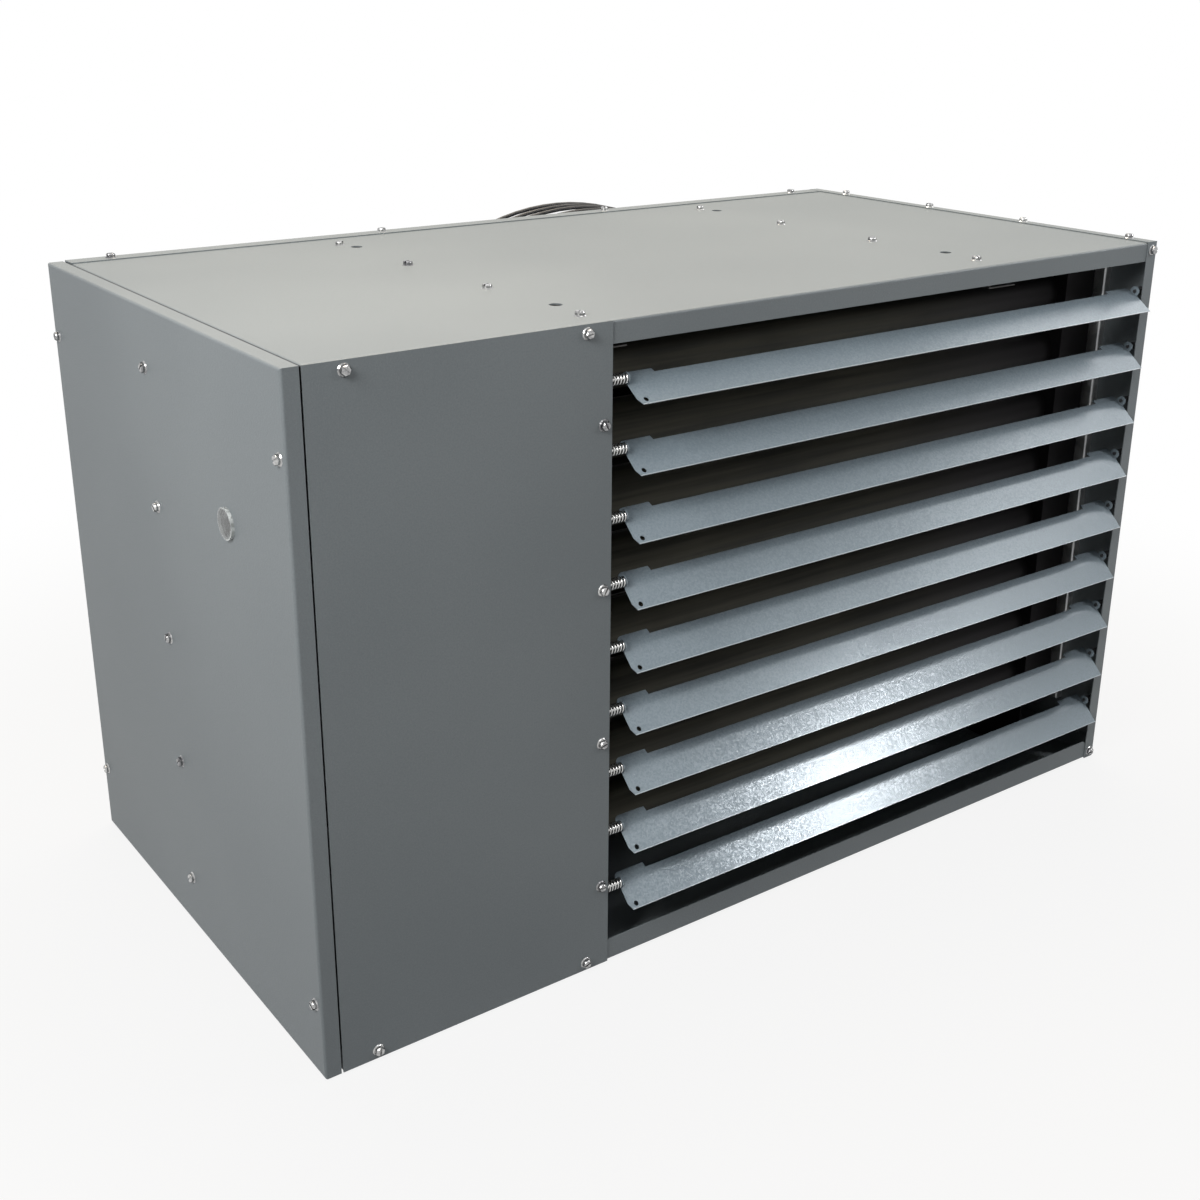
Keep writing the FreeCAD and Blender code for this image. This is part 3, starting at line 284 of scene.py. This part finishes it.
# Air mover: an inlet ring in the rear panel, a pressed propeller on a shaft, a closed motor on a wire guard.
# The guard's round wires are welded to one another, to the motor's plate and to a rim screwed to the panel.
fan_steel = galvanised("fan_steel", (0.40, 0.41, 0.42, 1), (0.64, 0.65, 0.65, 1), 0.28)
coat(fan_steel, "fan_venturi", "fan_propeller")
coat(zinc_bright, "fan_shaft")
coat(motor_black, "fan_motor", "motor_mount")
guard_black = grained("guard_black", (0.005, 0.005, 0.006, 1), (0.013, 0.013, 0.014, 1), 380.0, 0.36, 0.16,
                      {"Specular IOR Level": 0.35})
coat(guard_black, "guard_rim")


def tree_of(name, inputs):
    """New geometry tree with named inputs; gives the tree, its inputs as sockets and their identifiers."""
    tree = bpy.data.node_groups.new(name, "GeometryNodeTree")
    tree.interface.new_socket("Geometry", in_out="INPUT", socket_type="NodeSocketGeometry")
    tree.interface.new_socket("Geometry", in_out="OUTPUT", socket_type="NodeSocketGeometry")
    identifiers = {}
    for label, kind in inputs.items():
        socket = tree.interface.new_socket(label, in_out="INPUT", socket_type="NodeSocket" + kind)
        identifiers[label] = socket.identifier
    source = tree.nodes.new("NodeGroupInput")
    sockets = {socket.name: Socket(tree, socket) for socket in source.outputs if socket.name}
    return tree, sockets, identifiers


def close_tree(geometry, material):
    """Ends a tree: instances made real, with one material."""
    real = geometry.make("GeometryNodeRealizeInstances", {}, {"Geometry": geometry})
    dressed = real.make("GeometryNodeSetMaterial", {}, {"Geometry": real, "Material": material})
    end = dressed.tree.nodes.new("NodeGroupOutput")
    dressed.tree.links.new(dressed.socket, end.inputs[0])


def grown(name, tree, identifiers, values, points, edges=(), ways=None):
    """Runs a tree on a few points, each with a way or a size if given, and keeps a plain mesh."""
    seed = bpy.data.meshes.new(name + "_points")
    seed.from_pydata(points, list(edges), [])
    if ways:
        way_values = seed.attributes.new("way", "FLOAT_VECTOR", "POINT").data
        way_values.foreach_set("vector", [number for way in ways for number in way])
    carrier = bpy.data.objects.new(name + "_carrier", seed)
    bpy.context.scene.collection.objects.link(carrier)
    modifier = carrier.modifiers.new("grow", "NODES")
    modifier.node_group = tree
    for label, value in values.items():
        modifier[identifiers[label]] = value
    carrier.update_tag()
    evaluated = carrier.evaluated_get(bpy.context.evaluated_depsgraph_get())
    mesh = bpy.data.meshes.new_from_object(evaluated)
    mesh.name = name
    carrier.modifiers.clear()
    bpy.data.objects.remove(carrier)
    piece = bpy.data.objects.new(name, mesh)
    bpy.context.scene.collection.objects.link(piece)
    return piece


def round_wire(path, radius, sides):
    """Wire of round section along a curve."""
    section = path.make("GeometryNodeCurvePrimitiveCircle", {}, {"Radius": radius, "Resolution": sides})
    skin = path.make("GeometryNodeCurveToMesh", {},
                     {"Curve": path, "Profile Curve": section, "Fill Caps": True})
    return skin.make("GeometryNodeSetShadeSmooth", {}, {0: skin})


ring_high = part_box("guard_rings")[1]
rim_low, rim_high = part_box("guard_rim")
wire_radius = 0.0025
rim_half_width = 0.006
guard_middle = Vector(((rim_low.x + rim_high.x) / 2, 0, (rim_low.z + rim_high.z) / 2))
spoke_reach = (rim_high.x - rim_low.x) / 2 - rim_half_width
spoke_root = 0.040
guard_back = ring_high.y - wire_radius * 3
guard_bend = 0.030
spoke_count = 12

tree, given, names = tree_of("guard_spoke_tree", {"Wire": "Float", "Bend": "Float", "Count": "Int",
                                                  "Middle": "Vector", "Paint": "Material"})
spine = given["Geometry"].make("GeometryNodeMeshToCurve", {}, {"Mesh": given["Geometry"]})
spine = spine.make("GeometryNodeFilletCurve", {"mode": "POLY"},
                   {"Curve": spine, "Radius": given["Bend"], "Count": 8})
spoke = round_wire(spine, given["Wire"], 12)
stations = spoke.make("GeometryNodeMeshLine", {}, {"Count": given["Count"], "Offset": (0.0, 0.0, 0.0)})
number = spoke.make("GeometryNodeInputIndex")
turn = (number + 0.5) * (2 * math.pi / spoke_count)
spread = turn.make("ShaderNodeCombineXYZ", {}, {"Y": turn})
around = spread.make("FunctionNodeEulerToRotation", {}, {0: spread})
spokes = stations.make("GeometryNodeInstanceOnPoints", {},
                       {"Points": stations, "Instance": spoke, "Rotation": around})
spokes = spokes.make("GeometryNodeTransform", {}, {"Geometry": spokes, "Translation": given["Middle"]})
close_tree(spokes, given["Paint"])
spoke_path = [(spoke_reach, rim_high.y, 0), (spoke_reach, guard_back, 0), (spoke_root, guard_back, 0)]
guard_spokes = grown("guard_spoke_wires", tree, names,
                     {"Wire": wire_radius, "Bend": guard_bend, "Count": spoke_count, "Middle": guard_middle,
                      "Paint": guard_black}, spoke_path, [(0, 1), (1, 2)])
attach(guard_spokes, "cabinet")
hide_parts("guard_spokes")

tree, given, names = tree_of("guard_ring_tree", {"Wire": "Float", "Paint": "Material"})
reach = given["Wire"].make("GeometryNodeInputNamedAttribute", {"data_type": "FLOAT_VECTOR"}, {"Name": "way"})
loop = reach.make("GeometryNodeCurvePrimitiveCircle", {}, {"Radius": 1.0, "Resolution": 96})
loop = loop.make("GeometryNodeTransform", {}, {"Geometry": loop, "Rotation": (math.pi / 2, 0.0, 0.0)})
rings = loop.make("GeometryNodeInstanceOnPoints", {},
                  {"Points": given["Geometry"], "Instance": loop, "Scale": reach})
rings = rings.make("GeometryNodeRealizeInstances", {}, {"Geometry": rings})
close_tree(round_wire(rings, given["Wire"], 12), given["Paint"])
side_run = guard_back - guard_bend - rim_low.y
side_shares = (0.3, 0.6, 0.8, 1.0)
back_shares = (0.36, 0.45, 0.54, 0.63, 0.72, 0.81)
side_rings = [(rim_low.y + side_run * share, spoke_reach + wire_radius * 2) for share in side_shares]
back_rings = [(guard_back + wire_radius * 2, spoke_reach * share) for share in back_shares]
ring_places = [(guard_middle.x, y, guard_middle.z) for y, radius in side_rings + back_rings]
ring_sizes = [(radius, radius, radius) for y, radius in side_rings + back_rings]
guard_rings = grown("guard_ring_wires", tree, names, {"Wire": wire_radius, "Paint": guard_black}, ring_places,
                    ways=ring_sizes)
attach(guard_rings, "cabinet")
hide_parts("guard_rings")


# Louvres: creased blades of the same sheet, sprayed a shade lighter, that tilt on pins in the side walls.
# Their metallic coat has a fine sparkle, and a painted highlight gives their lower edges a thin lighter line.
# A coil spring on each left pin keeps the blade where it is set.
blades = sorted(body for body in frame["bodies"] if body.startswith("louvre_"))
pivots = [Vector(joint["pos_m"]) for joint in frame["joints"] if joint["child"] in blades]
louvre_pitch = pivots[0].z - pivots[1].z


def louvre_paint():
    material, shader, place = finish("louvre_paint", {"Metallic": 0.10, "Specular IOR Level": 0.36})
    cloud = place.noise(6.0)
    grain = place.noise(900.0, 2.0)
    flake = place.make("ShaderNodeTexVoronoi", {}, {"Vector": place, "Scale": 560.0}, 1)
    spark = flake.make("ShaderNodeSeparateColor", {}, {0: flake})
    tone = cloud * 0.4 + grain * 0.3 + spark * 0.3
    body = tone.step(0.25, 0.75).blend((0.146, 0.182, 0.209, 1), (0.184, 0.225, 0.254, 1))
    across = place.make("ShaderNodeSeparateXYZ", {}, {0: place})
    sideways, upward = (Socket(across.tree, across.socket.node.outputs[axis]) for axis in ("Y", "Z"))
    height = upward.make("ShaderNodeMath", {"operation": "WRAP"},
                         {0: upward - pivots[0].z, 1: louvre_pitch / 2, 2: -louvre_pitch / 2})
    depth = sideways - pivots[0].y
    # Painted highlight: a thin lighter band along each blade's lower edge, where the edge catches light.
    highlight_from = 0.0290
    highlight_to = 0.0299
    edge_highlight = (height * height + depth * depth).step(highlight_from ** 2, highlight_to ** 2)
    flake_tilt = 0.025
    tip = flake.make("ShaderNodeVectorMath", {"operation": "MULTIPLY_ADD"},
                     {0: flake, 1: (flake_tilt * 2,) * 3, 2: (-flake_tilt,) * 3})
    upright = flake.make("ShaderNodeNewGeometry", {}, {}, 1)
    facing = tip.make("ShaderNodeVectorMath", {"operation": "ADD"}, {0: upright, 1: tip})
    facing = facing.make("ShaderNodeVectorMath", {"operation": "NORMALIZE"}, {0: facing})
    feed(shader, colour=edge_highlight.blend(body, (0.36, 0.40, 0.43, 1)), rough=0.16 + grain * 0.10 + cloud * 0.06,
         facing=facing)
    return material


coat(louvre_paint(), *blades)
coat(zinc_bright, "left_pivot_pins")
# The right pins get the black motor finish as painted shade, so they look dark where they sit.
coat(motor_black, "right_pivot_pins")

spring_low, spring_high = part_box("louvre_springs")
coil_wire = 0.00075
coil_radius = 0.0048
coil_turns = 5.5
coil_stub = 0.0008
coil_length = spring_high.x - spring_low.x - coil_stub * 2
tree, given, names = tree_of("louvre_spring_tree", {"Wire": "Float", "Radius": "Float", "Turns": "Float",
                                                    "Length": "Float", "Steel": "Material"})
helix = given["Radius"].make("GeometryNodeCurveSpiral", {},
                             {"Resolution": 24, "Rotations": given["Turns"], "Start Radius": given["Radius"],
                              "End Radius": given["Radius"], "Height": given["Length"]})
coil = round_wire(helix, given["Wire"], 8)
coil = coil.make("GeometryNodeTransform", {}, {"Geometry": coil, "Rotation": (0.0, math.pi / 2, 0.0)})
coils = coil.make("GeometryNodeInstanceOnPoints", {}, {"Points": given["Geometry"], "Instance": coil})
close_tree(coils, given["Steel"])
coil_places = [(spring_low.x + coil_stub, pivot.y, pivot.z) for pivot in pivots]
springs = grown("louvre_coil_springs", tree, names,
                {"Wire": coil_wire, "Radius": coil_radius, "Turns": coil_turns, "Length": coil_length,
                 "Steel": zinc_bright}, coil_places)
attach(springs, "cabinet")
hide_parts("louvre_springs")


# Sight glass: a clear moulded plug with a rim, snapped into the left panel to show the flame.
# Its face is slightly hazed by handling, and its rim carries a painted highlight, a lighter ring.
def clear_plug():
    material, shader, place = finish("clear_plug", {"IOR": 1.49, "Coat Weight": 0.8})
    low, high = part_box("sight_glass")
    shifted = place.make("ShaderNodeVectorMath", {"operation": "SUBTRACT"}, {0: place, 1: (low + high) / 2})
    flat = shifted.make("ShaderNodeVectorMath", {"operation": "MULTIPLY"}, {0: shifted, 1: (0.0, 1.0, 1.0)})
    reach = flat.make("ShaderNodeVectorMath", {"operation": "LENGTH"}, {0: flat}, 1)
    # Painted highlight: the rim is painted lighter, as if it caught the light.
    rim_from = 0.0128
    rim_to = 0.0143
    rim_highlight = reach.step(rim_from, rim_to)
    haze = place.noise(420.0, 3.0)
    cloud = place.noise(110.0).step(0.42, 0.62)
    shade = (rim_highlight * 0.8 + cloud * 0.3).blend((0.080, 0.087, 0.088, 1), (0.44, 0.47, 0.47, 1))
    feed(shader, colour=shade, rough=0.04 + haze * 0.10, alpha=0.38 + haze * 0.30 + rim_highlight * cloud * 0.4)
    return material


coat(clear_plug(), "sight_glass")


# Sheet screws: bright zinc hex washer heads with a driver slot, in the places where two sheets lap.
# Others hold the two collars and the guard's rim. Each is turned to where it happened to end up.
front_low, front_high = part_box("front_control_panel")
left_low, left_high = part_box("left_access_panel")
top_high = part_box("top_panel")[1]
right_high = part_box("right_side_panel")[1]
rear_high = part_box("rear_panel")[1]
rail_low, rail_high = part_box("hanger_rails")
divider_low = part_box("compartment_divider")[0]
collar_low, collar_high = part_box("air_intake_collar")
# Painted glints: the zinc is painted in dark and bright patches for its dark reflections and glints, over its
# own grain.
screw_zinc = grained("screw_zinc", (0.14, 0.14, 0.15, 1), (0.58, 0.58, 0.57, 1), 420.0, 0.08, 0.14,
                     {"Metallic": 1.0}, 0.00004)


def spaced(first, last, count):
    """Evenly spaced places from first to last."""
    return [first + (last - first) * index / (count - 1) for index in range(count)]


front_way, left_way, up_way, back_way = (0, -1, 0), (-1, 0, 0), (0, 0, 1), (0, 1, 0)
edge_inset = 0.0085
seats = []

front_columns = (0.036, 0.2685)
for column in front_columns:
    for z in (front_high.z - edge_inset, front_low.z + edge_inset):
        seats.append(((front_low.x + column, front_low.y, z), front_way))
jamb_foot = 0.090
jamb_head = 0.093
jamb_rows = spaced(front_low.z + jamb_foot, front_high.z - jamb_head, 4)
seats += [((front_high.x - edge_inset, front_low.y, z), front_way) for z in jamb_rows]
right_rows = (front_low.z + edge_inset, front_high.z - edge_inset)
seats += [((right_high.x - edge_inset, front_low.y, z), front_way) for z in right_rows]

pan_inset = 0.0115
pan_end = 0.0745
for y in (left_low.y + pan_inset, left_high.y - pan_inset):
    seats += [((left_low.x, y, z), left_way) for z in (left_low.z + pan_end, left_high.z - pan_end)]
divider_inset = 0.010
divider_end = 0.058
for z in spaced(left_low.z + divider_end, left_high.z - divider_end, 5):
    seats.append(((left_low.x, divider_low.y + divider_inset, z), left_way))

rail_half = 0.020
rail_shift = 0.010
rail_front = 0.033
rail_back = 0.064
for y in spaced(front_low.y + rail_front, left_high.y - rail_back, 4):
    for x in (rail_low.x + rail_half, rail_high.x - rail_half):
        seats.append(((x - rail_shift, y, top_high.z), up_way))
    seats.append(((right_high.x - edge_inset, y, right_high.z), up_way))
rear_inset = 0.011
rear_end = 0.063
for x in spaced(left_low.x + rear_end, right_high.x - rear_end, 4):
    seats.append(((x, left_high.y - rear_inset, rear_high.z), up_way))

collar_inset = 0.0095
collar_middle = (collar_low + collar_high) / 2
collar_grip = (collar_high.x - collar_low.x) / 2 - collar_inset
vent_rise = next(mount["pos_m"][2] for mount in frame["record"]["mounts"] if mount["name"] == "vent_outlet")
for z in (collar_middle.z, vent_rise):
    for x in (collar_middle.x - collar_grip, collar_middle.x + collar_grip):
        seats += [((x, left_high.y, z + rise), back_way) for rise in (-collar_grip, collar_grip)]
rim_screws = 6
for number in range(rim_screws):
    turn = 2 * math.pi * number / rim_screws
    seats.append(((guard_middle.x + spoke_reach * math.cos(turn), rim_high.y,
                   guard_middle.z + spoke_reach * math.sin(turn)), back_way))

tree, given, names = tree_of("screw_tree", {"Washer": "Float", "Washer Height": "Float", "Flats": "Float",
                                            "Head Height": "Float", "Slot": "Float", "Seed": "Int",
                                            "Zinc": "Material"})
washer_slope = 0.86
washer = given["Washer"].make("GeometryNodeMeshCone", {},
                              {"Vertices": 28, "Radius Top": given["Washer"] * washer_slope,
                               "Radius Bottom": given["Washer"], "Depth": given["Washer Height"]})
start = washer.make("ShaderNodeCombineXYZ", {}, {"Z": given["Washer Height"] * 0.5})
top = washer.make("ShaderNodeCombineXYZ", {}, {"Z": given["Head Height"]})
spine = start.make("GeometryNodeCurvePrimitiveLine", {}, {"Start": start, "End": top})
spine = spine.make("GeometryNodeResampleCurve", {}, {"Curve": spine, "Count": 5})
corner_share = 0.57735
hexagon = spine.make("GeometryNodeCurvePrimitiveCircle", {},
                     {"Radius": given["Flats"] * corner_share, "Resolution": 6})
head_chamfer = 0.18
taper = 1.0 - spine.make("GeometryNodeInputIndex").step(3.0, 4.0) * head_chamfer
head = spine.make("GeometryNodeCurveToMesh", {}, {"Curve": spine, "Profile Curve": hexagon, "Scale": taper,
                                                 "Fill Caps": True})
groove_size = head.make("ShaderNodeCombineXYZ", {},
                        {"X": given["Flats"] * 2.0, "Y": given["Slot"], "Z": given["Slot"] * 2.0})
groove = head.make("GeometryNodeMeshCube", {}, {"Size": groove_size})
groove = groove.make("GeometryNodeTransform", {}, {"Geometry": groove, "Translation": top})
head = head.make("GeometryNodeMeshBoolean", {"operation": "DIFFERENCE", "solver": "EXACT"},
                 {"Mesh 1": head, "Mesh 2": groove})
screw = head.make("GeometryNodeJoinGeometry", {}, {"Geometry": [washer, head]})
facing = screw.make("GeometryNodeInputNamedAttribute", {"data_type": "FLOAT_VECTOR"}, {"Name": "way"})
spin = screw.make("FunctionNodeRandomValue", {"data_type": "FLOAT"},
                  {2: 0.0, 3: math.pi, "Seed": given["Seed"]}, 1)
spin = spin.make("ShaderNodeCombineXYZ", {}, {"Z": spin})
spin = spin.make("FunctionNodeEulerToRotation", {}, {0: spin})
aim = spin.make("FunctionNodeAlignRotationToVector", {"axis": "Z"}, {"Vector": facing})
aim = aim.make("FunctionNodeRotateRotation", {"rotation_space": "LOCAL"},
               {"Rotation": aim, "Rotate By": spin})
screws = screw.make("GeometryNodeInstanceOnPoints", {},
                    {"Points": given["Geometry"], "Instance": screw, "Rotation": aim})
close_tree(screws, given["Zinc"])
screw_heads = grown("panel_screw_heads", tree, names,
                    {"Washer": 0.0060, "Washer Height": 0.0010, "Flats": 0.0085, "Head Height": 0.0044,
                     "Slot": 0.0017, "Seed": 7, "Zinc": screw_zinc},
                    [place for place, way in seats], ways=[way for place, way in seats])
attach(screw_heads, "cabinet")
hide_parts("panel_screws")


# Stage: a pale floor under the heater, soft lamps overhead, at both sides and in front, and a camera.
# The floor and the surroundings look white to the camera, in gloss and through glass.
# The floor keeps the heater's shadow.
floor_mesh = bpy.data.meshes.new("floor")
floor_reach = 12.0
floor_corners = [(-floor_reach, -floor_reach, 0), (floor_reach, -floor_reach, 0),
                 (floor_reach, floor_reach, 0), (-floor_reach, floor_reach, 0)]
floor_mesh.from_pydata(floor_corners, [], [(0, 1, 2, 3)])
floor = bpy.data.objects.new("floor", floor_mesh)
floor_gap = 0.002
floor.location.z = solids_low.z - floor_gap
bpy.context.scene.collection.objects.link(floor)
floor_paint, floor_shader, place = finish("floor_paint", {"Base Color": (0.28, 0.28, 0.28, 1),
                                                          "Roughness": 0.8})
away = place.make("ShaderNodeVectorMath", {"operation": "LENGTH"}, {0: place}, 1)


def shown_to(tree):
    """1 for rays that come straight from the camera, off a gloss or through glass, and 0 for the rest."""
    path = Socket(tree).make("ShaderNodeLightPath").socket.node.outputs
    seen, gloss, through = (Socket(tree, path[ray]) for ray in
                            ("Is Camera Ray", "Is Glossy Ray", "Is Transmission Ray"))
    return seen.math("MAXIMUM", seen.math("MAXIMUM", seen, gloss), through)


seen = shown_to(place.tree)
glow = place.make("ShaderNodeEmission", {}, {"Color": (1, 1, 1, 1), "Strength": 1.0})
near_white = 0.87
shadow_reach = 0.7
white_reach = 1.5
whiteness = near_white + away.step(shadow_reach, white_reach) * (1.0 - near_white)
whitened = place.make("ShaderNodeMixShader", {},
                      {0: seen * whiteness, 1: Socket(place.tree, floor_shader.outputs[0]), 2: glow})
place.tree.links.new(whitened.socket, place.tree.nodes["Material Output"].inputs["Surface"])
floor_mesh.materials.append(floor_paint)

world = bpy.data.worlds.new("studio")
bpy.context.scene.world = world
world.use_nodes = True
sky = world.node_tree
sky.nodes.clear()
sky_light = 0.16
strength = sky_light + shown_to(sky) * (1.0 - sky_light)
light = strength.make("ShaderNodeBackground", {}, {"Color": (1, 1, 1, 1), "Strength": strength})
end = sky.nodes.new("ShaderNodeOutputWorld")
sky.links.new(light.socket, end.inputs["Surface"])


def softbox(name, place, target, width, depth, watts, tint=(1.0, 1.0, 1.0)):
    """Flat lamp of a width and a depth in metres that looks at a target."""
    lamp = bpy.data.lights.new(name, "AREA")
    lamp.shape = "RECTANGLE"
    lamp.size = width
    lamp.size_y = depth
    lamp.energy = watts
    lamp.color = tint
    holder = bpy.data.objects.new(name, lamp)
    holder.location = place
    holder.rotation_euler = (Vector(target) - Vector(place)).to_track_quat("-Z", "Y").to_euler()
    bpy.context.scene.collection.objects.link(holder)


middle = (solids_low + solids_high) / 2
softbox("overhead", (0.4, 0.9, 2.9), middle, 2.4, 1.6, 123.0, (1.0, 0.885, 0.73))
softbox("left_fill", (-1.8, -0.7, 1.6), middle, 0.9, 0.9, 53.0, (1.0, 0.98, 0.96))
softbox("front_fill", (-0.5, -1.4, 2.3), middle, 1.6, 0.9, 9.0)
softbox("right_key", (1.34, -1.21, 1.34), middle, 0.24, 0.19, 11.0)
softbox("right_fill", (1.70, -0.75, 1.45), middle, 0.36, 0.36, 2.2)
softbox("right_top_fill", (1.69, -0.27, 1.58), middle, 0.5, 0.5, 2.7)

focal_pixels = 1551.72
frame_pixels = 1200.0
focal_share = focal_pixels / frame_pixels
camera = bpy.data.cameras.new("photo_camera")
camera.sensor_width = 36.0
camera.lens = focal_share * camera.sensor_width
camera.shift_x = 0.0020
camera.shift_y = -0.0496
camera.clip_start = 0.02
holder = bpy.data.objects.new("photo_camera", camera)
holder.location = (-1.01685, -1.34949, 0.93244)
aim = Vector((0.55064, 0.76215, -0.34048)).to_track_quat("-Z", "Y")
roll = math.radians(0.35)
holder.rotation_mode = "QUATERNION"
holder.rotation_quaternion = aim @ Matrix.Rotation(roll, 3, "Z").to_quaternion()
bpy.context.scene.collection.objects.link(holder)
bpy.context.scene.camera = holder
bpy.context.scene.view_settings.view_transform = "Standard"
